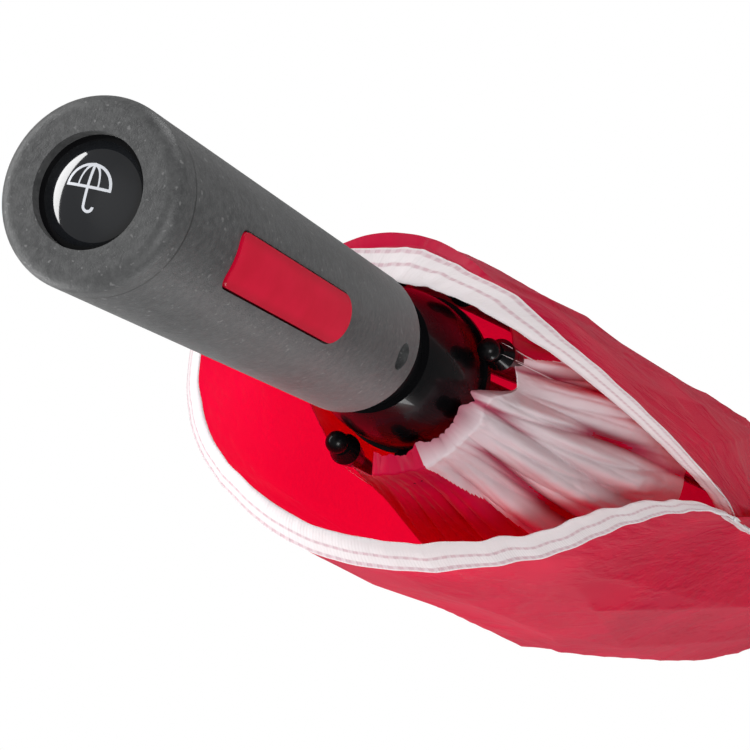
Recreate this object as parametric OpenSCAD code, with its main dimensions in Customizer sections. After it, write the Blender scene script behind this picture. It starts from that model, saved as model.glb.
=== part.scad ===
// Golf umbrella, closed: a straight grip with a release button, a tubular
// shaft, eight bowed ribs with their struts, a runner with a bell-shaped cup,
// and the folded canopy. Millimetres. +Z runs from the grip to the tip, the
// origin is the centre of the grip's end face, and the button faces -Y.
//
// The folding linkage is an isosceles triangle: each strut is as long as the
// rib's leg above it, so the runner stays on the shaft while the ribs open.

/* [Grip] */
// Diameter of the rubber grip
grip_d = 36; // [32:0.5:44]
// Length of the grip
grip_len = 140; // [125:1:180]
// Thickness of the rubber sleeve
sleeve_wall = 3; // [2.5:0.1:4]
// Thickness of the hard core under the rubber
core_wall = 2.2; // [1.8:0.1:3]
// Length of the separate rubber ring at the end
end_ring_len = 6.5; // [6:0.5:10]
// Rounding of the grip's two end edges
grip_edge = 2.8; // [1:0.1:4]
// Diameter of the wrist-cord hole near the far end of the grip
cord_hole_d = 6.6; // [4:0.1:8]
// Distance from the far end of the grip to the cord hole's centre
cord_hole_inset = 11; // [8:0.5:16]

/* [End cap] */
// Diameter of the recess in the end face
recess_d = 21.6; // [18:0.1:24]
// Diameter of the domed lens
lens_d = 19.4; // [15:0.1:21]
// Height of the lens dome
lens_rise = 2.6; // [1.5:0.1:3.5]
// Depth of the lens rim below the end face
lens_depth = 2.4; // [1.5:0.1:3]

/* [Button] */
// Length of the button
button_len = 62; // [50:1:75]
// Width of the button
button_w = 11.2; // [9:0.1:13]
// Height of the button's lower end above the grip's end face
button_z = 28; // [24:1:36]
// How far the button stands proud of the rubber
button_proud = 0.5; // [0:0.1:1]
// Travel of the button
button_travel = 1.6; // [1:0.1:1.8]

/* [Shaft] */
// Diameter of the shaft
shaft_d = 14; // [12:0.5:15]
// Wall of the shaft tube
shaft_wall = 1.2; // [0.8:0.1:2]

/* [Ribs and struts] */
// Length of a rib from its hinge to the end ball
rib_len = 741; // [600:1:800]
// Diameter of a rib rod
rib_d = 3.6; // [3:0.1:4.2]
// Outward bow of a rib at mid-length
rib_bow = 24; // [18:1:28]
// Distance of the end balls from the axis when closed
tip_r = 25; // [25:0.5:32]
// Height of the end balls above the far end of the grip
tip_rise = 34; // [25:1:45]
// Diameter of a strut rod
strut_d = 3; // [2.5:0.1:3.4]
// Distance of the rib and strut hinges from the axis
hinge_r = 12; // [11.5:0.5:14]

/* [Runner] */
// Outer diameter of the cup's wall
cup_d = 40.6; // [36:0.1:44]
// Diameter of the cup's flange
flange_d = 42.8; // [38:0.1:47]
// Length of the cup from its neck to its flange
cup_len = 38; // [30:1:45]
// Height of the strut hinges above the far end of the grip
runner_rise = 65; // [60:1:80]

/* [Tip] */
// Length of the ferrule beyond the crown cap
ferrule_len = 50; // [30:1:80]
// Diameter of the ferrule at its root
ferrule_d = 11; // [8:0.5:13]
// Length of the ferrule's straight part
ferrule_straight = 20; // [10:1:30]

/* [Canopy] */
// Thickness of the loosely folded cloth around the ribs
wrap_t = 9; // [5:0.5:14]
// Width of a gore's strip of cloth along its rib
gore_w = 16; // [10:0.5:18]
// Thickness of a gore's strip of cloth
gore_t = 1; // [0.6:0.1:1.5]

/* [Hidden] */
RIBS = 8;
first_rib = 16;            // turn of rib 1 about the axis, in degrees
fit_gap = 0.05;            // radial running clearance of a pin in its eye
clear = 0.3;               // gap between parts that pass each other
pin_d = 2;
eye_w = 3;
eye_r = 2.3;
lug_w = 2.4;
cheek_w = 1.4;
trunnion_off = 5.4;        // strut pin's distance inside the rib's centre line
bracket_r = 3;
bracket_len = 14;
ball_r = 3;
tip_body_r = 4.2;
tip_body_len = 18;
root_sleeve_r = 2.8;

grip_r = grip_d / 2;
core_r = grip_r - sleeve_wall;
bore_r = core_r - core_wall;          // inside of the hard core
shaft_r = shaft_d / 2;
shaft_foot = lens_depth + lens_rise + 10;
bush_h = 10;
catch_t = 1.6;
catch_w = 5;
catch_y = bore_r - 0.8;               // outer face of the catch bar
catch_top = grip_len + 11;
nose_h = 3;
nose_reach = 0.9;
button_r = grip_r + button_proud;
button_gap = 0.4;                     // slot around the button
flange_lip = 1.2;                     // how far the button's foot runs under the core
foot_t = 1.4;

neck_z = grip_len + 3;                // lower end of the runner
neck_in = catch_y + 0.3;
neck_wall = 2.1;
neck_len = 12;
groove_d = 0.9;
cup_wall = 1.6;
runner_z = grip_len + runner_rise;    // strut hinges, closed
runner_bore = shaft_r + clear;
crown_h = 10;
crown_r = hinge_r + 3.4;
slot_w = eye_w + 0.2;
slot_floor = hinge_r - eye_r - 0.4;

// The rib's arc, in the plane that holds the axis and the rib
tip_z = grip_len + tip_rise;
notch_z = tip_z + sqrt(rib_len^2 - (tip_r - hinge_r)^2);
bow_r = rib_len^2 / (8 * rib_bow) + rib_bow / 2;
lean = asin((tip_r - hinge_r) / rib_len);
half_arc = asin(rib_len / 2 / bow_r);
arc_x = (hinge_r + tip_r) / 2 - (bow_r - rib_bow) * cos(lean);
arc_z = (notch_z + tip_z) / 2 - (bow_r - rib_bow) * sin(lean);
root_a = lean + half_arc;             // angle of the hinge end on the arc
tip_a = lean - half_arc;              // angle of the ball end
function arc_turn(length) = length / bow_r * 180 / PI;
function rib_r(z) = arc_x + sqrt(bow_r^2 - (z - arc_z)^2);

// The strut runs from the runner's hinge to the bracket's trunnion
joint_z = (notch_z + runner_z) / 2;
joint_a = asin((joint_z - arc_z) / (bow_r - trunnion_off));
joint_r = arc_x + (bow_r - trunnion_off) * cos(joint_a);
strut_len = sqrt((joint_r - hinge_r)^2 + (joint_z - runner_z)^2);
strut_lean = atan((joint_r - hinge_r) / (joint_z - runner_z));

// The gore strip lies over its rib, clear of the bracket
gore_in = bracket_r + 0.4;
gore_start = 45;                      // distance from the hinge
gore_stop = tip_body_len + 3;         // distance from the ball
wrap_in = gore_in + gore_t + 2.2;
wrap_low = tip_z + 5;
wrap_high = notch_z - 14;
wrap_steps = 14;

cap_z = notch_z + crown_h / 2 + clear;
cap_h = 13;
cap_r = crown_r + 0.6;

rubber = [0.17, 0.17, 0.18];
gloss_black = [0.03, 0.03, 0.035];
black = [0.08, 0.08, 0.08];
red = [0.78, 0.03, 0.12];
white = [0.93, 0.9, 0.92];
steel = [0.72, 0.72, 0.74];
glass_fibre = [0.15, 0.15, 0.16];

$fn = 96;

// Turns children to rib number k's plane, which then is the XZ plane
module in_rib_plane(k) {
  rotate([0, 0, first_rib + 360 / RIBS * (k - 1)]) children();
}

// Moves children to a point of the rib's arc: +X outward, +Z to the hinge end
module on_rib(k, angle) {
  in_rib_plane(k)
    translate([arc_x + bow_r * cos(angle), 0, arc_z + bow_r * sin(angle)])
      rotate([0, -angle, 0]) children();
}

// Sweeps a profile along the rib's arc between two angles
module along_rib(k, from, to) {
  in_rib_plane(k) translate([arc_x, 0, arc_z]) rotate([90, 0, 0])
    rotate([0, 0, from]) rotate_extrude(angle = to - from, $fn = 1440)
      translate([bow_r, 0]) children();
}

module across(length, radius) {
  rotate([90, 0, 0]) cylinder(h = length, r = radius, center = true);
}

// Ring between two radii and two heights
module ring(inner, outer, low, high) {
  rotate_extrude() translate([inner, low]) square([outer - inner, high - low]);
}

// The button's outline: square lower end with small corners, round upper end
module button_outline(grow) {
  half = button_w / 2;
  corner = 2.4;
  high = button_len - half;
  translate([-half - grow, corner])
    square([button_w + 2 * grow, high - corner]);
  translate([-half + corner, -grow])
    square([button_w - 2 * corner, corner + 2 * grow]);
  for (side = [-1, 1])
    translate([side * (half - corner), corner]) circle(r = corner + grow);
  translate([0, high]) circle(r = half + grow);
}

// The outline pushed outward through the grip's wall, towards -Y
module button_prism(grow, inner, outer) {
  translate([0, -inner, button_z]) rotate([90, 0, 0])
    linear_extrude(outer - inner) button_outline(grow);
}

module cord_hole(inner) {
  translate([0, -inner, grip_len - cord_hole_inset]) rotate([90, 0, 0])
    cylinder(h = grip_r + 5 - inner, d = cord_hole_d);
}

// Tube with a rounded outer edge at one or both ends
module rounded_tube(inner, outer, low, high, edge_low, edge_high) {
  rotate_extrude() difference() {
    union() {
      translate([inner, low + edge_low])
        square([outer - inner, high - low - edge_low - edge_high]);
      translate([inner, low]) square([outer - inner - edge_low, edge_low + 1]);
      translate([inner, high - edge_high - 1])
        square([outer - inner - edge_high, edge_high + 1]);
      if (edge_low > 0)
        translate([outer - edge_low, low + edge_low]) circle(r = edge_low);
      if (edge_high > 0)
        translate([outer - edge_high, high - edge_high]) circle(r = edge_high);
    }
    translate([0, low - 1]) square([inner, high - low + 2]);
  }
}

module grip_sleeve() {
  color(rubber) difference() {
    rounded_tube(core_r, grip_r, end_ring_len, grip_len, 0, grip_edge);
    button_prism(button_gap, bore_r - 2, grip_r + 2);
    cord_hole(bore_r - 2);
  }
}

module grip_end_ring() {
  color(rubber) {
    rounded_tube(recess_d / 2, grip_r, 0, end_ring_len, grip_edge, 0);
  }
}

module grip_core() {
  color(black) difference() {
    ring(bore_r, core_r, end_ring_len, grip_len);
    button_prism(button_gap, bore_r - 2, grip_r + 2);
    cord_hole(bore_r - 2);
  }
}

module lower_bush() {
  color(black) difference() {
    ring(shaft_r + fit_gap, bore_r, shaft_foot, shaft_foot + bush_h);
  }
}

module upper_bush() {
  low = grip_len - cord_hole_inset - cord_hole_d / 2 - 2 - bush_h;
  slot_in = min(shaft_r + 1.5, catch_y - catch_t - clear);
  color(black) difference() {
    ring(shaft_r + fit_gap, bore_r, low, low + bush_h);
    translate([-catch_w / 2 - clear, -bore_r - 1, low - 1])
      cube([catch_w + 2 * clear, bore_r + 1 - slot_in, bush_h + 2]);
  }
}

module lens() {
  radius = lens_d / 2;
  dome_r = (radius^2 + lens_rise^2) / (2 * lens_rise);
  color(gloss_black) intersection() {
    translate([0, 0, lens_depth - lens_rise + dome_r]) sphere(r = dome_r, $fn = 180);
    translate([0, 0, lens_depth - lens_rise - 1])
      cylinder(h = lens_rise + 1, r = radius);
  }
}

module lens_seat() {
  color(gloss_black) {
    translate([0, 0, lens_depth]) cylinder(h = end_ring_len - lens_depth, d = recess_d);
    translate([0, 0, end_ring_len])
      cylinder(h = shaft_foot - end_ring_len, r = bore_r);
  }
}

module button() {
  color(red) {
    intersection() {
      button_prism(0, bore_r - 0.4, button_r + 1);
      cylinder(h = grip_len, r = button_r);
    }
    intersection() {
      translate([-button_w / 2 - flange_lip, -bore_r, button_z - flange_lip])
        cube([button_w + 2 * flange_lip, foot_t + 2, button_len + 2 * flange_lip]);
      difference() {
        cylinder(h = grip_len, r = bore_r - 0.1);
        translate([-grip_r, -catch_y, 0]) cube([grip_d, grip_d, grip_len]);
      }
    }
  }
}

module catch() {
  foot = button_z + 6;
  color(steel) {
    translate([-catch_w / 2, -catch_y, foot])
      cube([catch_w, catch_t, catch_top - foot]);
    translate([-catch_w / 2, -catch_y - nose_reach, catch_top - nose_h])
      cube([catch_w, nose_reach + 0.5, nose_h]);
  }
}

module button_springs() {
  gap = catch_y - catch_t - shaft_r;
  color(steel) for (place = [0.25, 0.6])
    translate([0, -shaft_r - 0.2, button_z + place * button_len]) rotate([90, 0, 0])
      difference() {
        cylinder(h = gap - 0.2, r = 2);
        translate([0, 0, -1]) cylinder(h = gap + 2, r = 1.3);
      }
}

module shaft() {
  color(steel) ring(shaft_r - shaft_wall, shaft_r, shaft_foot, cap_z);
}

// Eight slots for the eyes, and the seats of their pins
module notch_cuts(z, pin_len) {
  for (k = [1:RIBS]) in_rib_plane(k) {
    translate([slot_floor, -slot_w / 2, z - crown_h])
      cube([crown_r, slot_w, 2 * crown_h]);
    translate([hinge_r, 0, z]) across(pin_len, pin_d / 2);
  }
}

module pin_ring(z) {
  for (k = [1:RIBS]) in_rib_plane(k)
    translate([hinge_r, 0, z]) across(slot_w + 3.6, pin_d / 2);
}

module runner() {
  web_z = neck_z + neck_len;
  color(gloss_black) {
    difference() {
      ring(runner_bore, crown_r, runner_z - crown_h / 2, runner_z + crown_h / 2);
      notch_cuts(runner_z, slot_w + 3.6);
    }
    ring(runner_bore, slot_floor, web_z, runner_z + crown_h / 2);
    difference() {
      ring(neck_in, neck_in + neck_wall, neck_z, web_z + 3);
      ring(neck_in - 1, neck_in + groove_d, catch_top - nose_h - 0.4, catch_top + 0.4);
    }
    ring(runner_bore, neck_in + neck_wall, web_z, web_z + 3);
  }
}

module runner_cup() {
  low = neck_z + neck_len - 3;
  high = neck_z + 8 + cup_len;
  neck = neck_in + neck_wall;
  outer = cup_d / 2;
  bell = (high - low) * 0.75;          // height of the curved part
  bend = outer - neck - cup_wall;
  bell_r = (bell^2 + bend^2) / (2 * bend);
  color(gloss_black) rotate_extrude() {
    difference() {
      union() {
        intersection() {
          translate([outer - bell_r, low + bell]) circle(r = bell_r, $fn = 720);
          translate([neck, low]) square([outer - neck + 1, bell]);
        }
        translate([neck, low + bell]) square([outer - neck, high - low - bell]);
      }
      intersection() {
        translate([outer - bell_r, low + bell]) circle(r = bell_r - cup_wall, $fn = 720);
        translate([neck - 1, low + 3]) square([outer, bell - 3]);
      }
      translate([neck - 1, low + bell]) square([outer - cup_wall - neck + 1, high]);
    }
    translate([outer - cup_wall, high - 3])
      square([flange_d / 2 - outer + cup_wall, 3]);
  }
}

module runner_pins() {
  color(steel) pin_ring(runner_z);
}

// A wire wound around the shaft, as one swept tube
module opening_spring() {
  turns = 22;
  steps = 12;
  sides = 6;
  wire = 0.6;
  coil = shaft_r + wire + 0.5;
  low = runner_z + crown_h / 2 + wire + clear;
  high = notch_z - crown_h / 2 - wire - clear;
  count = turns * steps;
  points = [for (i = [0:count], j = [0:sides - 1])
    let (turn = 360 / steps * i, a = 360 / sides * j, r = coil + wire * cos(a))
      [r * cos(turn), r * sin(turn), low + (high - low) * i / count + wire * sin(a)]];
  walls = [for (i = [0:count - 1], j = [0:sides - 1])
    let (n = (j + 1) % sides)
      [i * sides + j, (i + 1) * sides + j, (i + 1) * sides + n, i * sides + n]];
  ends = [[for (j = [0:sides - 1]) j],
          [for (j = [sides - 1:-1:0]) count * sides + j]];
  color(steel) polyhedron(points, concat(walls, ends), convexity = 4);
}

module top_notch() {
  color(black) difference() {
    ring(shaft_r, crown_r, notch_z - crown_h / 2, notch_z + crown_h / 2);
    notch_cuts(notch_z, slot_w + 3.6);
  }
}

module notch_pins() {
  color(steel) pin_ring(notch_z);
}

module crown_cap() {
  color(gloss_black) rotate_extrude() polygon([
    [0, cap_z], [cap_r, cap_z], [cap_r, cap_z + 3], [cap_r - 1.5, cap_z + 5],
    [ferrule_d / 2 + 1.5, cap_z + cap_h], [0, cap_z + cap_h]]);
}

module ferrule() {
  low = cap_z + cap_h;
  color(gloss_black) {
    translate([0, 0, low])
      cylinder(h = ferrule_straight, r = ferrule_d / 2);
    translate([0, 0, low + ferrule_straight])
      cylinder(h = ferrule_len - 3.5 - ferrule_straight, r1 = ferrule_d / 2, r2 = 3.5);
    translate([0, 0, low + ferrule_len - 3.5]) sphere(r = 3.5);
  }
}

// The folded cloth: a loose tube around the ribs, open at the mouth
module canopy_wrap() {
  function level(i) = wrap_low + (wrap_high - wrap_low) * i / wrap_steps;
  function slack(i) = 2 + (wrap_t - 2) * min(1, 3 * (1 - i / wrap_steps));
  color(red) rotate_extrude() polygon(concat(
    [for (i = [0:wrap_steps]) [rib_r(level(i)) + wrap_in, level(i)]],
    [for (i = [wrap_steps:-1:0])
      [rib_r(level(i)) + wrap_in + slack(i), level(i)]]));
}

module rib(k) {
  color(glass_fibre)
    along_rib(k, tip_a + arc_turn(5.2), root_a - arc_turn(7)) circle(d = rib_d, $fn = 32);
}

// The hinge eye at the notch, and the bracket that carries the strut
module rib_fittings(k) {
  rod_hole = rib_d / 2 + fit_gap;
  color(black) {
    on_rib(k, root_a) difference() {
      union() {
        across(eye_w, eye_r);
        translate([-1.5, -eye_w / 2, -7]) cube([3, eye_w, 6]);
        translate([0, 0, -16]) cylinder(h = 10, r = root_sleeve_r);
      }
      across(eye_w + 1, pin_d / 2 + fit_gap);
      translate([0, 0, -17]) cylinder(h = 10.1, r = rod_hole);
    }
    on_rib(k, joint_a) {
      difference() {
        union() {
          translate([0, 0, -bracket_len / 2])
            cylinder(h = bracket_len, r = bracket_r);
          translate([-trunnion_off, -lug_w / 2, -eye_r])
            cube([trunnion_off, lug_w, 2 * eye_r]);
          translate([-trunnion_off, 0, 0]) across(lug_w, eye_r);
        }
        translate([0, 0, -bracket_len]) cylinder(h = 2 * bracket_len, r = rod_hole);
      }
      translate([-trunnion_off, 0, 0])
        across(lug_w + 2 * cheek_w + 0.6, pin_d / 2);
    }
  }
}

// The end ball with the tapered socket that the cloth is sewn to
module rib_tip(k) {
  color(black) on_rib(k, tip_a) difference() {
    union() {
      sphere(r = ball_r, $fn = 48);
      cylinder(h = 5, r = 2.1);
      translate([0, 0, 4]) cylinder(h = 4, r1 = 2.6, r2 = tip_body_r);
      translate([0, 0, 8])
        cylinder(h = tip_body_len - 8, r1 = tip_body_r, r2 = root_sleeve_r);
    }
    translate([0, 0, 5]) cylinder(h = tip_body_len, r = rib_d / 2 + fit_gap);
  }
}

module strut(k) {
  fork = strut_len - 8.5;
  inner = lug_w / 2 + 0.15;
  width = 2 * (inner + cheek_w);
  color(steel) in_rib_plane(k) translate([hinge_r, 0, runner_z])
    rotate([0, strut_lean, 0]) difference() {
      union() {
        across(eye_w, eye_r);
        translate([-1.4, -eye_w / 2, 1]) cube([2.8, eye_w, 7]);
        translate([0, 0, 7]) cylinder(h = fork - 6, d = strut_d);
        translate([-2, -width / 2, fork]) cube([4, width, 4]);
        for (side = [-1, 1]) {
          translate([-2, side * (inner + cheek_w / 2) - cheek_w / 2, fork + 2])
            cube([4, cheek_w, strut_len - fork - 2]);
          translate([0, side * (inner + cheek_w / 2), strut_len])
            across(cheek_w, 2);
        }
      }
      across(eye_w + 1, pin_d / 2 + fit_gap);
      translate([0, 0, strut_len]) across(width + 1, pin_d / 2 + fit_gap);
    }
}

module gore(k) {
  color(k % 2 == 1 ? red : white)
    along_rib(k, tip_a + arc_turn(gore_stop), root_a - arc_turn(gore_start))
      translate([gore_in, -gore_w / 2]) square([gore_t, gore_w]);
}

grip_sleeve();
grip_end_ring();
grip_core();
lower_bush();
upper_bush();
lens();
lens_seat();
button();
catch();
button_springs();
shaft();
runner();
runner_cup();
runner_pins();
opening_spring();
top_notch();
notch_pins();
crown_cap();
ferrule();
canopy_wrap();
for (k = [1:RIBS]) {
  rib(k);
  rib_fittings(k);
  rib_tip(k);
  strut(k);
  gore(k);
}
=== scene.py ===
"""Looks for a golf umbrella, closed, seen from below its grip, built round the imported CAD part.

Metres. +Z runs from the grip to the tip, the origin is the centre of the grip's end face,
and the button faces -Y. Angles round the shaft are in degrees from +X towards +Y.
"""

import math

import bpy
import numpy as np
from mathutils import Matrix, Vector

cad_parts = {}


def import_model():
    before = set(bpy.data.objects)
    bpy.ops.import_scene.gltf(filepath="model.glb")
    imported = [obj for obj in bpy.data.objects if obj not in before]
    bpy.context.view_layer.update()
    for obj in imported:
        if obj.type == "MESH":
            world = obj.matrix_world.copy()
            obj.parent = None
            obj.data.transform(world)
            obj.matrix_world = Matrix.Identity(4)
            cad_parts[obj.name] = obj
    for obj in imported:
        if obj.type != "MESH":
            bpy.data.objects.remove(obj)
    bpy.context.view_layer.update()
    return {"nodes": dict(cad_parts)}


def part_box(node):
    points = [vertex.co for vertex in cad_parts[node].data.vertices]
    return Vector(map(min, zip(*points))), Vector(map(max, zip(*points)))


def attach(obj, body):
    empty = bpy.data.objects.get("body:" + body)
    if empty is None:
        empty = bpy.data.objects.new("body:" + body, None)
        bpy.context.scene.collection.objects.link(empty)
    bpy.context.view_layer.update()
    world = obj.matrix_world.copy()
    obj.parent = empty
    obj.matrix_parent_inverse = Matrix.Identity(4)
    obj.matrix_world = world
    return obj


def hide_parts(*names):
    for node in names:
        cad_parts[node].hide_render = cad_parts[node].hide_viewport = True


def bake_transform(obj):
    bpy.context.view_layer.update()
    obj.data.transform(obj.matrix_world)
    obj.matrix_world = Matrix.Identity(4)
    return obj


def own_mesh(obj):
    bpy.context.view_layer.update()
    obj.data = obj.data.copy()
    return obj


MM = 0.001
RIBS = 8
FIRST_RIB = 16.0  # angle of rib 1
HINGE_R, HINGE_Z = 12 * MM, 914.886 * MM  # where a rib turns on the top notch
LEAN = math.radians(1.005)  # how far a closed rib's chord leans out
RIB_LEN, RIB_BOW = 741 * MM, 24 * MM
APEX = 12.4895 * MM  # from the rib's hinge back to the corner the gore turns on
FOLD_TILT = math.radians(6.5506)  # tilt of a gore's plane out of its rib's plane
FAN = math.radians(43.146)  # angle between neighbouring ribs when open
FAN_TURN = math.radians(43.13)  # how far a gore's joint turns
HEM_W = 8.5 * MM  # width of the binding tape on an open gore
END_RING_LEN = 6.5 * MM


# ---------------------------------------------------------------- shader maths


class Sock:
    """A node socket that arithmetic can be written on."""

    def __init__(self, mat, out):
        self.m, self.o = mat, out

    def _do(self, op, *others):
        return self.m.math(op, self, *others)

    def __add__(self, b):
        return self._do("ADD", b)

    __radd__ = __add__

    def __sub__(self, b):
        return self._do("SUBTRACT", b)

    def __mul__(self, b):
        return self._do("MULTIPLY", b)

    __rmul__ = __mul__

    def __abs__(self):
        return self._do("ABSOLUTE")

    def sin(self):
        return self._do("SINE")

    def sqrt(self):
        return self._do("SQRT")

    def below(self, b):
        return self._do("LESS_THAN", b)

    def above(self, b):
        return self._do("GREATER_THAN", b)

    def most(self, b):
        return self._do("MAXIMUM", b)

    def ramp(self, low, high, a=0.0, b=1.0):
        """a below low, b above high, and a smooth step between them."""
        n = self.m.new("ShaderNodeMapRange")
        n.interpolation_type = "SMOOTHSTEP"
        self.m.feed(n.inputs["Value"], self)
        for key, value in zip(("From Min", "From Max", "To Min", "To Max"), (low, high, a, b)):
            n.inputs[key].default_value = value
        return Sock(self.m, n.outputs["Result"])


class Mat:
    """A material whose Principled shader is reached by socket name, with helpers for the other nodes."""

    def __init__(self, name, colour, rough, **uniform):
        self.mat = bpy.data.materials.new(name)
        self.mat.use_nodes = True
        self.tree = self.mat.node_tree
        self.p = self.tree.nodes["Principled BSDF"]
        self.out = self.tree.nodes["Material Output"]
        self.p.inputs["Base Color"].default_value = (*colour, 1)
        self.p.inputs["Roughness"].default_value = rough
        for key, value in uniform.items():
            self.p.inputs[key.replace("_", " ")].default_value = value
        self.mat.diffuse_color = (*colour, 1)

    def new(self, kind):
        return self.tree.nodes.new(kind)

    def feed(self, socket, value):
        """Links a Sock into socket, or sets it to a number, colour or vector."""
        if isinstance(value, Sock):
            self.tree.links.new(value.o, socket)
        elif isinstance(value, (tuple, list)) and len(value) == 3 and socket.type == "RGBA":
            socket.default_value = (*value, 1)
        else:
            socket.default_value = value

    def math(self, op, *terms):
        n = self.new("ShaderNodeMath")
        n.operation = op
        for socket, term in zip(n.inputs, terms):
            self.feed(socket, term)
        return Sock(self, n.outputs[0])

    def node(self, kind, output=0, **inputs):
        """A node of that kind with its inputs fed by name, and one of its outputs."""
        n = self.new(kind)
        for key, value in inputs.items():
            self.feed(n.inputs[key.replace("_", " ")], value)
        return Sock(self, n.outputs[output])

    def place(self):
        """Object coordinates, in metres, as (vector, x, y, z)."""
        v = self.node("ShaderNodeTexCoord", "Object")
        s = self.new("ShaderNodeSeparateXYZ")
        self.feed(s.inputs[0], v)
        return (v, *(Sock(self, o) for o in s.outputs))

    def uv(self):
        """The UV map in metres along the cloth, as (vector, u, v)."""
        v = self.node("ShaderNodeTexCoord", "UV")
        s = self.new("ShaderNodeSeparateXYZ")
        self.feed(s.inputs[0], v)
        return (v, Sock(self, s.outputs[0]), Sock(self, s.outputs[1]))

    def noise(self, vector, scale, detail=2.0, rough=0.5, stretch=None):
        """Smooth noise from 0 to 1 with about scale features a metre, stretched along each axis by stretch."""
        if stretch:
            vector = self.node("ShaderNodeMapping", 0, Vector=vector, Scale=stretch)
        return self.node("ShaderNodeTexNoise", 0, Vector=vector, Scale=scale, Detail=detail, Roughness=rough)

    def mix(self, factor, a, b):
        """Colour a at factor 0 and b at factor 1."""
        n = self.new("ShaderNodeMix")
        n.data_type = "RGBA"
        self.feed(n.inputs[0], factor)
        self.feed(n.inputs[6], a)
        self.feed(n.inputs[7], b)
        return Sock(self, n.outputs[2])

    def bump(self, height, distance, strength=1.0, normal=None):
        """Turns a height from 0 to 1 into relief that is distance metres deep."""
        n = self.new("ShaderNodeBump")
        n.inputs["Strength"].default_value = strength
        n.inputs["Distance"].default_value = distance
        self.feed(n.inputs["Height"], height)
        if normal:
            self.feed(n.inputs["Normal"], normal)
        return Sock(self, n.outputs[0])

    def set(self, **sockets):
        for key, value in sockets.items():
            self.feed(self.p.inputs[key.replace("_", " ")], value)
        return self

    def lets_light_through(self, colour, share):
        """Adds the light that thin cloth passes from its other side."""
        glow = self.new("ShaderNodeBsdfTranslucent")
        self.feed(glow.inputs["Color"], colour)
        mix = self.new("ShaderNodeMixShader")
        mix.inputs[0].default_value = share
        self.tree.links.new(self.p.outputs[0], mix.inputs[1])
        self.tree.links.new(glow.outputs[0], mix.inputs[2])
        self.tree.links.new(mix.outputs[0], self.out.inputs["Surface"])
        return self


def soft_rubber():
    """Soft-touch black rubber: a matt grey-black skin with a fine moulded grain, faint rubbed patches, pale dust and
    a dark parting line where the end ring meets the sleeve."""
    m = Mat("soft_rubber", (0.045, 0.046, 0.047), 0.52,
            Specular_IOR_Level=0.45, Sheen_Weight=0.1, Sheen_Roughness=0.4)
    v, _, _, z = m.place()
    grain = m.noise(v, 2600, 3, 0.65)
    patches = m.noise(v, 45, 3, 0.55)
    dust = m.noise(v, 900, 2, 0.4).ramp(0.66, 0.74)
    base = m.mix(patches.ramp(0.3, 0.75), (0.038, 0.039, 0.040), (0.056, 0.057, 0.058))
    mottle = m.noise(v, 620, 4, 0.7)
    base = m.mix(mottle.ramp(0.36, 0.68) * 0.8, base, (0.078, 0.079, 0.080))
    parting = abs(z - END_RING_LEN).ramp(0.00012, 0.0004, 1, 0)
    base = m.mix(parting * 0.75, base, (0.006, 0.006, 0.006))
    m.set(Base_Color=m.mix(dust * 0.5, base, (0.20, 0.20, 0.20)))
    m.set(Roughness=patches.ramp(0.25, 0.8, 0.44, 0.58))
    return m.set(Normal=m.bump(grain, 0.00012, 0.6, m.bump(mottle, 0.00022, 0.5))).mat


def gloss_black():
    """Glossy moulded black plastic with a clear, faintly uneven skin."""
    m = Mat("gloss_black", (0.003, 0.003, 0.0035), 0.3,
            Specular_IOR_Level=0.08, Coat_Weight=0.35, Coat_IOR=1.28, Coat_Roughness=0.05)
    v = m.place()[0]
    m.set(Roughness=m.noise(v, 90, 3).ramp(0.3, 0.8, 0.24, 0.36))
    return m.set(Normal=m.bump(m.noise(v, 60, 2), 0.0002, 0.12)).mat


def lens_black():
    """A domed clear lens over black, with a pale printed pictogram: a small open umbrella in outline."""
    m = Mat("lens_black", (0.006, 0.007, 0.009), 0.07,
            Specular_IOR_Level=0.5, Coat_Weight=0.6, Coat_Roughness=0.02)
    v, px, py, _ = m.place()
    # the print is read from below with the button's side to the right, turned a little
    turn = math.radians(8)
    x = px * (-1000 * math.sin(turn)) + py * (-1000 * math.cos(turn))
    y = px * (-1000 * math.cos(turn)) + py * (1000 * math.sin(turn)) - 0.6
    line, dome, crook, foot = 0.26, 4.2, 0.9, 3.4  # half a line's width, two radii and the crook's depth, in mm
    ring = abs((x * x + y * y).sqrt() - dome).below(line) * y.above(-line)
    rim = abs(y).below(line) * abs(x).below(dome)
    panel = abs(((x * x) * 4.6 + y * y).sqrt() - dome).below(line * 1.25) * y.above(0)
    stem = abs(x).below(line) * y.below(dome) * y.above(-foot)
    hook = abs(((x - crook) * (x - crook) + (y + foot) * (y + foot)).sqrt() - crook).below(line) * y.below(-foot)
    printed = ring.most(rim).most(panel).most(stem).most(hook)
    m.set(Base_Color=m.mix(printed, (0.006, 0.007, 0.009), (0.62, 0.64, 0.68)))
    m.set(Roughness=printed.ramp(0, 1, 0.07, 0.25))
    return m.set(Normal=m.bump(m.noise(v, 120, 2), 0.0001, 0.06)).mat


def button_red():
    """Glossy red plastic, with painted shade darkening it towards its long edges."""
    m = Mat("button_red", (0.62, 0.012, 0.02), 0.26,
            Specular_IOR_Level=0.14, Coat_Weight=0.2, Coat_IOR=1.4, Coat_Roughness=0.08)
    v, x, _, _ = m.place()
    # painted shade: the colour darkens over the outer 2.4 mm of each long edge
    edge = abs(x).ramp(0.0032, 0.0056)
    cloud = m.noise(v, 80, 3).ramp(0.3, 0.7)
    middle = m.mix(cloud, (0.56, 0.002, 0.026), (0.64, 0.003, 0.034))
    m.set(Base_Color=m.mix(edge * 0.6, middle, (0.40, 0.002, 0.018)))
    m.set(Roughness=cloud * 0.08 + 0.18)
    return m.set(Normal=m.bump(m.noise(v, 2200, 2), 0.00003, 0.25)).mat


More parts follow.
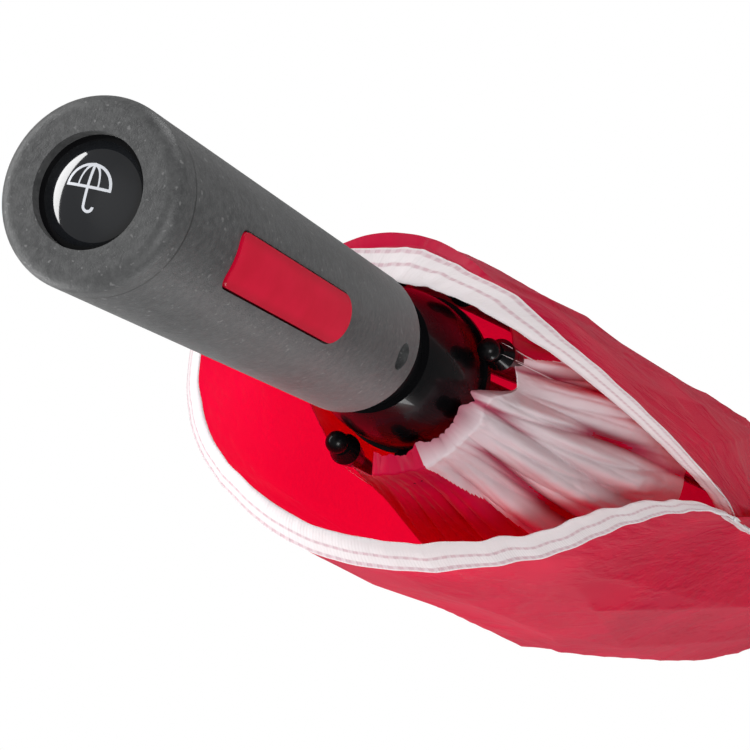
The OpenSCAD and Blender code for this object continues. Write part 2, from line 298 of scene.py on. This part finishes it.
def black_plastic():
    """Satin moulded black plastic with a light spark-eroded grain."""
    m = Mat("black_plastic", (0.012, 0.012, 0.013), 0.36, Specular_IOR_Level=0.5)
    v = m.place()[0]
    m.set(Roughness=m.noise(v, 300, 3).ramp(0.3, 0.7, 0.28, 0.44))
    return m.set(Normal=m.bump(m.noise(v, 3000, 2), 0.00004, 0.35)).mat


def black_shaft():
    """Black painted metal, with faint drawing lines along its length."""
    m = Mat("black_shaft", (0.014, 0.014, 0.016), 0.3, Metallic=0.35, Coat_Weight=0.4, Coat_Roughness=0.12)
    v = m.place()[0]
    lines = m.noise(v, 700, 3, 0.6, stretch=(1, 1, 0.02))
    m.set(Roughness=lines.ramp(0.3, 0.7, 0.24, 0.38))
    m.set(Base_Color=m.mix(lines, (0.012, 0.012, 0.013), (0.02, 0.02, 0.022)))
    return m.set(Normal=m.bump(lines, 0.00003, 0.4)).mat


def steel():
    """Bright drawn steel wire and pins."""
    m = Mat("steel", (0.52, 0.52, 0.53), 0.28, Metallic=1.0)
    v = m.place()[0]
    lines = m.noise(v, 1500, 3)
    m.set(Roughness=lines.ramp(0.3, 0.7, 0.22, 0.36))
    m.set(Base_Color=m.mix(lines, (0.46, 0.46, 0.47), (0.58, 0.58, 0.59)))
    return m.set(Normal=m.bump(lines, 0.00003, 0.4)).mat


def glass_fibre():
    """Black pultruded glass fibre: long fine fibres under a satin resin skin."""
    m = Mat("glass_fibre", (0.012, 0.012, 0.013), 0.34, Specular_IOR_Level=0.5)
    v = m.place()[0]
    fibre = m.noise(v, 1800, 4, 0.7, stretch=(1, 1, 0.03))
    m.set(Base_Color=m.mix(fibre.ramp(0.4, 0.7), (0.009, 0.009, 0.010), (0.026, 0.026, 0.028)))
    m.set(Roughness=fibre.ramp(0.3, 0.7, 0.26, 0.42))
    return m.set(Normal=m.bump(fibre, 0.00004, 0.4)).mat


def cloth(name, light, dark, through, share, valley_shade=None, fold_depth=0.0011, rough=0.5):
    """Thin polyester pongee, from a light and a dark colour. The UV map is metres along the cloth,
    and carries a fine plain weave, short creases and broad soft folds. valley is painted shade: the colour that
    red bounce light gives the bottoms of the pleats, reached where the mesh's own valley value is 1."""
    m = Mat(name, light, rough, Specular_IOR_Level=0.3, Sheen_Weight=0.1, Sheen_Roughness=0.35)
    uv, u, w = m.uv()
    v = m.place()[0]
    thread = 2 * math.pi / 0.00042
    weave = ((u * thread).sin() * (w * thread).sin()) * 0.5 + 0.5
    broad = m.noise(uv, 17, 3, 0.5, stretch=(1.0, 0.33, 1))
    crease = abs(m.noise(uv, 42, 4, 0.55, stretch=(1.0, 0.42, 1)) - 0.5).ramp(0.0, 0.11)
    tone = m.noise(v, 28, 3).ramp(0.3, 0.75)
    colour = m.mix(tone * 0.45 + weave * 0.1, light, dark)
    # painted red shade in the pleats' bottoms, as far as the mesh's valley attribute goes
    if valley_shade:
        deep = m.new("ShaderNodeAttribute")
        deep.attribute_name = "valley_shade"
        colour = m.mix(Sock(m, deep.outputs["Fac"]), colour, valley_shade)
    m.set(Base_Color=colour)
    m.set(Roughness=crease.ramp(0, 1, rough - 0.05, rough + 0.08))
    relief = m.bump(broad, fold_depth * 6, 0.35, m.bump(crease, fold_depth, 0.38))
    m.set(Normal=m.bump(weave, 0.00005, 0.35, relief))
    return m.lets_light_through(through, share).mat


def hem_cloth():
    """White binding tape: a ribbed weave with two rows of stitches along it. U runs along the hem and V across it,
    in metres."""
    m = Mat("hem_white", (0.86, 0.85, 0.86), 0.6, Specular_IOR_Level=0.3, Sheen_Weight=0.3, Sheen_Roughness=0.4)
    uv, u, w = m.uv()
    ribs = (u * (2 * math.pi / 0.0009)).sin() * 0.5 + 0.5
    row = abs(w - 0.0064).ramp(0.0003, 0.0009, 1, 0).most(abs(w - 0.0027).ramp(0.0002, 0.0006, 1, 0))
    stitch = row * (u * (2 * math.pi / 0.0026)).sin().ramp(-0.3, 0.3)
    pucker = m.noise(uv, 240, 3, 0.5, stretch=(1, 0.4, 1))
    # the stitched rows are painted pinker and darker as painted red shade in their grooves, and their stitches darker
    # still
    m.set(Base_Color=m.mix(stitch * 0.3 + row * 0.45, (0.88, 0.85, 0.865), (0.62, 0.40, 0.46)))
    m.set(Roughness=ribs * 0.08 + 0.55)
    relief = m.bump(pucker, 0.0009, 0.5)
    m.set(Normal=m.bump(ribs * 0.25 + stitch - row * 0.6, 0.00035, 0.5, relief))
    return m.lets_light_through((0.9, 0.75, 0.77), 0.22).mat


RED, RED_DARK = (0.76, 0.001, 0.070), (0.54, 0.001, 0.048)
WHITE, WHITE_DARK = (0.86, 0.83, 0.845), (0.74, 0.68, 0.70)


def materials():
    """Every finish, by name."""
    return {
        "soft_rubber": soft_rubber(), "gloss_black": gloss_black(), "lens_black": lens_black(),
        "button_red": button_red(), "black_plastic": black_plastic(), "black_shaft": black_shaft(),
        "steel": steel(), "glass_fibre": glass_fibre(), "hem_white": hem_cloth(),
        "red_cloth": cloth("red_cloth", RED, RED_DARK, (0.98, 0.002, 0.040), 0.45),
        "white_cloth": cloth("white_cloth", WHITE, WHITE_DARK, (0.95, 0.80, 0.82), 0.4),
        # white cloth painted pinker and darker, as it looks in the red shade inside the mouth, with painted red shade
        # in its pleats' bottoms
        "white_folds_red_shade": cloth("white_folds_red_shade", (0.86, 0.76, 0.79), (0.72, 0.56, 0.61), (0.85, 0.35, 0.42), 0.25,
                             valley_shade=(0.42, 0.05, 0.11), rough=0.36),
    }


# ---------------------------------------------------------------- mesh helpers


def smoothstep(x):
    """0 below 0, 1 above 1, and x * x * (3 - 2 * x) between them."""
    x = np.clip(x, 0, 1)
    return x * x * (3 - 2 * x)


def grid_mesh(name, points, uv, mats, index=None, flip=False):
    """A sheet from an (m, n, 3) grid of points, with an (m, n, 2) UV map. index gives each face's material."""
    m, n = points.shape[:2]
    a = (np.arange(m - 1)[:, None] * n + np.arange(n - 1)[None, :]).ravel()
    quads = np.stack([a, a + n, a + n + 1, a + 1], 1)
    if flip:
        quads = quads[:, ::-1]
    mesh = bpy.data.meshes.new(name)
    mesh.from_pydata(points.reshape(-1, 3), [], quads.tolist())
    layer = mesh.uv_layers.new(name="UVMap")
    layer.data.foreach_set("uv", uv.reshape(-1, 2)[quads.ravel()].astype(np.float32).ravel())
    for mat in mats:
        mesh.materials.append(mat)
    mesh.polygons.foreach_set("use_smooth", [True] * len(quads))
    if index is not None:
        mesh.polygons.foreach_set("material_index", np.asarray(index, np.int32).ravel())
    mesh.update()
    obj = bpy.data.objects.new(name, mesh)
    bpy.context.scene.collection.objects.link(obj)
    return obj


def smooth_curve(knots, count, rounds):
    """A (count, k) curve through the knots: straight between them, then averaged with its neighbours rounds times."""
    knots = np.array(knots, float)
    step = np.arange(len(knots))
    t = np.linspace(0, step[-1], count)
    out = np.stack([np.interp(t, step, knots[:, k]) for k in range(knots.shape[1])], 1)
    for _ in range(rounds):
        out[1:-1] = 0.5 * out[1:-1] + 0.25 * (out[:-2] + out[2:])
    return out


def polar(angle_deg, r, z):
    """Points at radius r and height z, at an angle in degrees round the shaft."""
    a = np.radians(angle_deg)
    return np.stack([r * np.cos(a), r * np.sin(a), np.broadcast_to(z, np.shape(r * np.cos(a)))], -1)


def unit(v):
    """Vectors along the last axis, scaled to a length of 1."""
    return v / np.maximum(np.linalg.norm(v, axis=-1, keepdims=True), 1e-12)


def run_length(points):
    """Distance along a line of points, from 0 at its first point, as a column."""
    return np.cumsum(np.r_[0, np.linalg.norm(np.diff(points, axis=0), axis=1)])[:, None]


def ridged(phase, sharp=0.7):
    """A wave from -1 to 1 with sharp bottoms."""
    return np.abs(np.sin(phase / 2)) ** sharp * 2 - 1


# ---------------------------------------------------------------- closed canopy

# Heights, and the bundle's radius there on its tight far side and on the loose side, in mm.
HEIGHTS = [140, 152, 165, 187, 219, 257, 300, 362, 434, 520, 610, 700, 800, 860, 890, 905, 915]
TIGHT = [25, 28, 32, 34.2, 36.5, 38, 41.5, 46, 51, 56.5, 56.5, 49.5, 36, 26, 19.5, 17.6, 17.2]
LOOSE = [50, 53, 54.5, 56, 58.5, 61, 63.5, 66, 67, 66, 61.5, 52.5, 37.5, 27, 20, 17.6, 17.2]
# Heights, and how far the outside of the closed ribs is from the shaft's axis there, in mm. The last row lets go.
RIB_LINE = ([166, 192, 260, 340, 430, 520, 640], [28.4, 29.0, 33.8, 39.2, 43.8, 47, 0])
LOOSE_SIDE, BUTTON_SIDE = -12, -76  # angles that the loose outline and the mouth's folds centre on

# The mouth's outline, which is where the turned-in hem begins: (angle, radius mm, height mm). It starts under the
# flap, runs once round the grip and ends on top.
HEM = [
    (-76, 60, 440), (-86, 62, 385), (-95, 65, 327), (-98, 63, 277), (-104, 56.5, 236), (-113, 48, 202),
    (-121, 41.5, 178), (-131, 35, 163), (-144, 30.3, 158), (-158, 27.2, 156), (-174, 23.6, 153),
    (-189, 21.6, 152), (-212, 22.5, 151), (-240, 33, 151), (-266, 47, 153), (-291, 52.5, 156),
    (-308, 52.5, 157), (-325, 52, 156), (-341, 51, 156), (-362, 51, 158), (-383, 51.5, 162), (-398, 53, 171),
    (-410, 55.5, 184), (-424, 58, 203), (-437, 60.5, 228), (-444, 63.5, 250), (-449, 67, 277),
    (-451, 69.5, 312), (-450, 70.5, 352), (-452, 70, 400), (-458, 69, 450),
]
TOP_END = 915.0  # height where the closed cloth meets the crown, in mm
CROWN_R = 16.8  # the closed cloth comes no nearer to the shaft's axis than this, in mm
RIB_COVER = 4.6  # room that the closed cloth leaves over the ribs, in mm


def eased(radii, half=23):
    """The radii at HEIGHTS as a smooth curve in steps of 1 mm: straight lines averaged over half mm either way."""
    z = np.arange(HEIGHTS[0], HEIGHTS[-1] + 1, 1.0)
    window = np.hanning(2 * half + 3)[1:-1]
    line = np.pad(np.interp(z, HEIGHTS, radii), half, mode="reflect", reflect_type="odd")
    return z, np.convolve(line, window / window.sum(), "valid")


TIGHT_CURVE, LOOSE_CURVE = eased(TIGHT), eased(LOOSE)


def bundle_radius(angle, z):
    """Radius of the closed bundle, in mm, at an angle in degrees and a height in mm: the tight outline on the
    far side and the loose one round LOOSE_SIDE."""
    away = np.abs((angle - LOOSE_SIDE + 180) % 360 - 180)
    loose = smoothstep((150 - away) / 70)
    return np.interp(z, *TIGHT_CURVE) * (1 - loose) + np.interp(z, *LOOSE_CURVE) * loose


def soft_folds(angle, z):
    """Long soft folds that run diagonally round the bundle, in mm, as sharp-bottomed waves."""
    a = np.radians(angle)
    wave = np.zeros(np.broadcast(angle, z).shape)
    waves = (5, 0.011, 0.4, 1.0), (8, -0.006, 1.9, 0.55), (13, 0.017, 3.1, 0.35), (3, -0.013, 5.0, 0.7)
    for count, rate, shift, size in waves:
        phase = count * a + rate * z + shift + 0.9 * np.sin(2 * a + 0.009 * z + shift)
        wave = wave + size * (1 - 2 * np.abs(np.sin(phase / 2)) ** 0.8)
    return wave


def wrapped(hem, up):
    """Points of the closed canopy's outside, up mm along its height from each point of the hem curve. The sheet leaves
    the hem's own radius for the bundle's outline, slowly on the loose side and at once on the tight one, and stays
    outside the ribs. Its last 9 mm turn in towards the shaft, and its two ends lap."""
    angle0, r0, z0 = (hem[:, k][:, None] for k in range(3))
    u = np.linspace(0, 1, len(hem))[:, None]
    right_end = smoothstep((u - 0.66) / 0.12)
    z = z0 + up
    angle = -268 + (angle0 + 268) * (1 + 0.12 * smoothstep(up / 260)) - 16 * smoothstep(up / 700)
    above = np.maximum(up, 0)
    reach = 9 + 61 * smoothstep((r0 - 32) / 22)
    r = bundle_radius(angle, z) + (r0 - bundle_radius(angle0, z0)) * np.exp(-above / reach)
    r = r + soft_folds(angle, z) * (0.3 + 2.0 * smoothstep((up - 8) / 120) * smoothstep((900 - z) / 190))
    under = 1 - smoothstep((angle0[0] - angle0) / 75)
    top = smoothstep((angle0[-1] + 18 - angle0) / 18)
    r = r - 3.4 * under * smoothstep(up / 60) + 0.9 * top
    r = np.where(up > 14, np.maximum(r, np.interp(z, *RIB_LINE) + RIB_COVER), r)
    r = r - 4.6 * np.clip(1 - up / 9, 0, 1.3) ** 2
    ruffle = np.sin(u * 150 + 1.1 * np.sin(u * 61)) + 0.5 * np.sin(u * 327 + 2)
    fade = np.exp(-above / 16)
    r = r + ruffle * fade * (0.12 + 0.42 * right_end)
    z = z + 0.5 * np.sin(u * 118 + 0.8) * fade * right_end
    return polar(angle, np.maximum(r, CROWN_R) * MM, z * MM)


def outer_sheet(mats, rows=460, cols=230):
    """The outside of the closed canopy as one sheet wound once round the bundle, from its hem to the crown."""
    hem = smooth_curve(HEM, rows, 40)
    up = (TOP_END - hem[:, 2][:, None]) * np.linspace(0, 1, cols)[None, :] ** 1.35
    pts = wrapped(hem, up)
    uv = np.stack([np.broadcast_to(run_length(pts[:, 12]), up.shape), up * MM], -1)
    sheet = grid_mesh("closed_canopy", pts, uv, [mats["red_cloth"]])
    return sheet


def binding(name, surface, mats):
    """A tape folded over a sheet's edge. surface gives the sheet's points for distances from the edge, in mm. The
    tape's section is a rolled free edge, a flat and a stitched second roll, on both faces."""
    across = np.array([8.6, 8.0, 7.4, 6.8, 6.2, 5.2, 3.8, 2.5, 1.5, 0.7, 0.0, -0.45, -0.62])
    height = np.array([0.05, 0.5, 0.68, 0.5, 0.32, 0.36, 0.42, 0.55, 0.8, 0.82, 0.62, 0.32, 0.0]) * MM
    across = np.r_[across, across[-2::-1]]
    height = np.r_[height, -height[-2::-1]]
    pts = surface(across)
    run = np.gradient(pts, axis=0)
    rise = surface(across + 0.4) - surface(across - 0.4)
    normal = unit(np.cross(run, rise))
    along = run_length(pts[:, 4])
    pucker = 1 + 0.2 * np.sin(along / 0.0043 + 1.3 * np.sin(along / 0.019))
    pts = pts + normal * (height[None, :] * pucker)[..., None]
    uv = np.stack(np.broadcast_arrays(along, across[None, :] * MM), -1)
    obj = grid_mesh(name, pts, uv, [mats["hem_white"]])
    return obj


def closed_hem(mats, rows=1100):
    """The binding on the closed sheet's free edge."""
    hem = smooth_curve(HEM, rows, 230)
    return binding("closed_hem", lambda up: wrapped(hem, np.broadcast_to(up, (rows, len(up)))), mats)


def inner_folds(mats, rows=620, cols=150):
    """The cloth between the rib ends and the flap, seen inside the mouth: it starts as a lip gathered round the rib
    ends on the button's side, follows the ribs, and flares out to meet the flap, soonest on that side, with pleats
    that radiate from the rib ends."""
    angle = np.linspace(-158, 112, rows)[:, None]
    lip_share = 0.1
    v = np.linspace(-lip_share, 1, cols)[None, :]
    inside, v = np.clip(-v / lip_share, 0, 1), np.clip(v, 0, 1)
    away = np.abs(angle - BUTTON_SIDE)
    soon = smoothstep((112 - away) / 80)
    lip = smoothstep((angle + 104) / 14) * smoothstep((-2 - angle) / 14)
    between = np.abs(np.sin(np.radians(4 * (angle - FIRST_RIB)))) ** 0.7
    z0 = 181 + between * 9 * (1 - lip) - 12.5 * lip
    z1 = 430 - 118 * soon
    z = z0 + (z1 - z0) * v
    rib = np.interp(z, *RIB_LINE)
    flap = bundle_radius(angle, z) - 3.2 - 5 * smoothstep((z - 195) / 110) - 3.6 * smoothstep((-62 - angle) / 18)
    flare = smoothstep((z - z0) / (z1 - z0) * 1.02) ** (1.15 - 0.3 * soon)
    r = np.where(flap > rib, rib + (flap - rib) * flare, np.minimum(rib, bundle_radius(angle, z) - 1.5))
    a = np.radians(angle)
    pleat = np.zeros(z.shape)
    waves = (13, 0.016, 0.6, 1.05), (23, -0.022, 2.2, 0.85), (41, 0.03, 4.0, 0.34), (67, -0.05, 1.0, 0.12)
    for count, rate, shift, size in waves:
        pleat = pleat + size * ridged(count * a + rate * (z - 178) + shift + 0.9 * np.sin(3 * a + 0.025 * z + shift))
    deep = smoothstep((z - z0) / 46) * smoothstep((flap - r + 1) / 6)
    r = r + pleat * (0.5 + 2.3 * soon) * deep
    r = r + (0.9 + 0.7 * pleat) * lip * np.exp(-((z - z0) / 16) ** 2) * 0.5
    r = r - inside * lip * (3.6 + 1.3 * pleat) - inside * 0.3
    z = z - inside * lip * (1.2 + 0.8 * ridged(19 * a))
    r = np.minimum(r, np.where(flap > rib, flap + 0.6, r))
    pts = polar(angle - 8 * smoothstep((z - 178) / 160) * soon, r * MM, z * MM)
    uv = np.stack(np.broadcast_arrays(np.radians(angle) * 0.045, z * MM), -1)
    face_z, face_pleat = z[:-1, :-1], pleat[:-1, :-1]
    wander = angle[:-1, :1] + 5 * np.sin(face_z * 0.035) + 0.02 * (face_z - 180)
    white = (wander > -117) & (wander < -45) & ~((face_pleat < -1.0) & (face_z > 196))
    folds = grid_mesh("inner_folds", pts, uv, [mats["red_cloth"], mats["white_folds_red_shade"]],
                      index=white.astype(int), flip=True)
    # painted shade: how far each point's colour goes to the dark red of the pleats' bottoms, strongest in the deep
    # valleys and on the lip's inside
    valley_shade = folds.data.attributes.new("valley_shade", "FLOAT", "POINT")
    painted_valley_shade = np.maximum(smoothstep((0.75 - pleat - 0.9 * (1 - soon)) / 1.6), 0.8 * inside * lip)
    valley_shade.data.foreach_set("value", painted_valley_shade.astype(np.float32).ravel())
    return folds


# ---------------------------------------------------------------- open canopy


def rib_frame(k):
    """For rib k at rest: the gore's corner, the direction along the rib's chord, the gore plane's normal and the
    direction across it, turned to the rib's place."""
    corner = np.array([HINGE_R - APEX * math.sin(LEAN), 0, HINGE_Z + APEX * math.cos(LEAN)])
    chord = np.array([math.sin(LEAN), 0, -math.cos(LEAN)])
    normal = np.array([math.cos(FOLD_TILT) * math.cos(LEAN), math.sin(FOLD_TILT), math.cos(FOLD_TILT) * math.sin(LEAN)])
    across = np.cross(normal, chord)
    a = math.radians(FIRST_RIB + 360 / RIBS * (k - 1))
    turn = np.array([[math.cos(a), -math.sin(a), 0], [math.sin(a), math.cos(a), 0], [0, 0, 1]])
    return [turn @ x for x in (corner, chord, normal, across)]


HALF = 1.6 * MM  # half the width of the strip that a folded gore hides in


def folded_angle(open_angle, rho):
    """The angle at rest of a point that lies at open_angle when the gore is spread. The turn that blend gives it
    depends on where it rests, so the angle is found by halving the interval."""
    low, high = np.full_like(open_angle, -1.2), np.full_like(open_angle, 1.2)
    for _ in range(48):
        mid = (low + high) / 2
        t = np.clip((rho * np.sin(mid) + HALF) / (2 * HALF), 0, 1)
        reached = mid + FAN_TURN * t * t * (3 - 2 * t)
        low, high = np.where(reached < open_angle, mid, low), np.where(reached < open_angle, high, mid)
    return (low + high) / 2


def open_gore(k, mats, across_n=72, down_n=110):
    """Gore k, folded over rib k at rest. Each point is placed from where it lies on the gore spread to rib k+1, which
    also gives the UV map; the spread shape itself is not built. Its hem is a straight line between two rib ends, drawn
    in by a shallow scallop. The cloth lies on the bowed ribs and sags a little between them."""
    corner, chord, normal, across = rib_frame(k)
    s = np.linspace(0, 1, across_n)[:, None]
    fan = FAN * s
    edge = (RIB_LEN + APEX + 1.5 * MM) * math.cos(FAN / 2) / np.cos(fan - FAN / 2) * (1 - 0.03 * np.sin(math.pi * s))
    start = 19 * MM
    body_t = np.linspace(0, 1, down_n)[None, :]
    lines = start + (edge - HEM_W - start) * body_t
    hem_lines = edge - HEM_W * (1 - np.linspace(0, 1, 7))[None, :]

    def place(rho, lift):
        """Points and UV at distances rho from the gore's corner, lift above the cloth."""
        along = np.clip((rho - APEX) / RIB_LEN, 0, 1.02)
        bow = 4 * RIB_BOW * along * (1 - along)
        over = bow + 3.3 * MM + lift
        open_angle = fan + (2 * s - 1) * np.minimum(over * math.sin(FOLD_TILT) / rho, 0.06)
        rest = folded_angle(open_angle, rho)
        sag = (0.16 * bow + 1.2 * MM * smoothstep(along * 4)) * np.sin(math.pi * s) ** 2
        h = over * math.cos(FOLD_TILT) - sag
        pts = (corner + rho[..., None] * (np.cos(rest)[..., None] * chord + np.sin(rest)[..., None] * across)
               + h[..., None] * normal)
        uv = np.stack([rho * np.sin(open_angle - FAN / 2), rho * np.cos(open_angle - FAN / 2)], -1)
        return pts, uv

    pts, uv = place(lines, 0)
    colour = "red_cloth" if k % 2 else "white_cloth"
    gore = grid_mesh(f"gore_sheet_{k}", pts, uv, [mats[colour]])
    hem_pts, hem_uv = place(hem_lines, 0.5 * MM)
    hem_uv = np.stack([hem_uv[..., 0], np.broadcast_to((edge - hem_lines), hem_uv.shape[:2])], -1)
    hem = grid_mesh(f"gore_hem_{k}", hem_pts, hem_uv, [mats["hem_white"]])
    for obj, name in ((gore, colour), (hem, "hem_white")):
        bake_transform(obj)
    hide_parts(f"gore_{k}")


# ---------------------------------------------------------------- spring


def opening_coil(mats):
    """The long opening spring as one smooth round wire wound on the shaft."""
    low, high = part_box("opening_spring")
    outer = high.x
    wire = 0.6 * MM
    turns, steps, ring = 46, 26, 8
    t = np.linspace(0, 1, turns * steps + 1)
    a = 2 * math.pi * turns * t
    r = outer - wire
    z0, z1 = low.z + wire, high.z - wire
    centre = np.stack([r * np.cos(a), r * np.sin(a), z0 + (z1 - z0) * t], 1)
    tangent = unit(np.gradient(centre, axis=0))
    out = np.stack([np.cos(a), np.sin(a), 0 * a], 1)
    up = np.cross(tangent, out)
    b = np.linspace(0, 2 * math.pi, ring + 1)
    pts = centre[:, None] + wire * (np.cos(b)[None, :, None] * out[:, None] + np.sin(b)[None, :, None] * up[:, None])
    uv = np.stack(np.broadcast_arrays(t[:, None], b[None, :] / 6.3), -1)
    coil = grid_mesh("opening_coil", pts, uv, [mats["steel"]], flip=True)
    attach(coil, "handle")
    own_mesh(coil)
    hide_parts("opening_spring")


# ---------------------------------------------------------------- frame finishes

FINISH = {
    "grip_sleeve": "soft_rubber", "grip_end_ring": "soft_rubber", "grip_core": "black_plastic",
    "lower_bush": "black_plastic", "upper_bush": "black_plastic", "lens": "lens_black", "lens_seat": "gloss_black",
    "button": "button_red", "catch": "steel", "button_springs": "steel", "shaft": "black_shaft",
    "runner": "gloss_black", "runner_cup": "gloss_black", "runner_pins": "steel", "top_notch": "black_plastic",
    "notch_pins": "steel", "crown_cap": "gloss_black", "ferrule": "gloss_black",
    "rib": "glass_fibre", "rib_fittings": "black_plastic", "rib_tip": "gloss_black", "strut": "black_shaft",
}


def finish_frame(frame, mats):
    """Gives each CAD node its finish, by its name without a number."""
    for name, obj in frame["nodes"].items():
        stem = name.rstrip("0123456789").rstrip("_")
        finish = FINISH.get(name) or FINISH.get(stem)
        if finish is None:
            finish = "white_cloth" if stem == "gore" and int(name[-1]) % 2 == 0 else "red_cloth"
        obj.data.materials.clear()
        obj.data.materials.append(mats[finish])


# ---------------------------------------------------------------- stage


def lamp(name, place, aim, size, power):
    """A soft rectangular light of size (width, height) at place, pointing at aim."""
    data = bpy.data.lights.new(name, "AREA")
    data.shape, data.size, data.size_y, data.energy = "RECTANGLE", size[0], size[1], power
    obj = bpy.data.objects.new(name, data)
    obj.location = place
    obj.rotation_euler = (Vector(aim) - Vector(place)).to_track_quat("-Z", "Y").to_euler()
    bpy.context.scene.collection.objects.link(obj)


def stage():
    """A pale floor far below, a white surround, soft lights and the camera below the grip."""
    bpy.ops.mesh.primitive_plane_add(size=14, location=(0, 0, -1.6))
    floor = bpy.context.object
    floor.name = "floor"
    m = Mat("floor_pale", (0.62, 0.62, 0.62), 0.8, Emission_Color=(1, 1, 1, 1), Emission_Strength=0.18)
    v = m.place()[0]
    m.set(Roughness=m.noise(v, 3, 2).ramp(0.3, 0.7, 0.74, 0.86))
    floor.data.materials.append(m.mat)
    world = bpy.context.scene.world or bpy.data.worlds.new("World")
    bpy.context.scene.world = world
    world.use_nodes = True
    tree = world.node_tree
    path = tree.nodes.new("ShaderNodeLightPath")
    level = tree.nodes.new("ShaderNodeMapRange")
    level.inputs["To Min"].default_value, level.inputs["To Max"].default_value = 0.16, 1.0
    tree.links.new(path.outputs["Is Camera Ray"], level.inputs["Value"])
    tree.links.new(level.outputs["Result"], tree.nodes["Background"].inputs[1])
    tree.nodes["Background"].inputs[0].default_value = (1, 1, 1, 1)
    bpy.context.scene.view_settings.view_transform = "Standard"

    right, up = Vector((-0.3764, -0.8696, 0.3195)), Vector((-0.9256, 0.3377, -0.1713))
    forward = Vector((-0.0411, 0.3602, 0.9320))
    eye = Vector((0.02526, -0.17971, -0.30162))
    data = bpy.data.cameras.new("camera")
    data.sensor_width, data.lens, data.clip_start, data.clip_end = 36, 95.04, 0.01, 50
    data.dof.use_dof = False
    camera = bpy.data.objects.new("camera", data)
    camera.matrix_world = Matrix.Translation(eye) @ Matrix((right, up, -forward)).transposed().to_4x4()
    bpy.context.scene.collection.objects.link(camera)
    bpy.context.scene.camera = camera

    grip = Vector((0, 0, 0.08))
    lamp("window", grip - right * 1.15 + up * 0.45 - forward * 0.05, grip, (1.5, 0.38), 17)
    lamp("long_strip", grip + right * 0.5 + up * 1.1 + forward * 0.1, grip + forward * 0.15, (0.2, 1.1), 8)
    lamp("by_camera", grip + right * 0.35 - up * 0.35 - forward * 1.1, grip + forward * 0.2, (0.5, 0.5), 10)
    lamp("behind_cloth", grip - right * 0.9 - up * 0.7 + forward * 0.25, grip + forward * 0.2, (0.7, 0.7), 11)
    lamp("low_side", grip + right * 0.55 - up * 1.0 + forward * 0.35, grip + forward * 0.3, (0.2, 0.9), 5.5)


def main():
    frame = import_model()
    mats = materials()
    finish_frame(frame, mats)

    sheet = outer_sheet(mats)
    hem = closed_hem(mats)
    folds = inner_folds(mats)
    for piece in (sheet, hem, folds):
        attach(piece, "handle")
        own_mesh(piece)
    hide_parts("canopy_wrap")

    for k in range(1, RIBS + 1):
        open_gore(k, mats)
    opening_coil(mats)

    stage()


main()
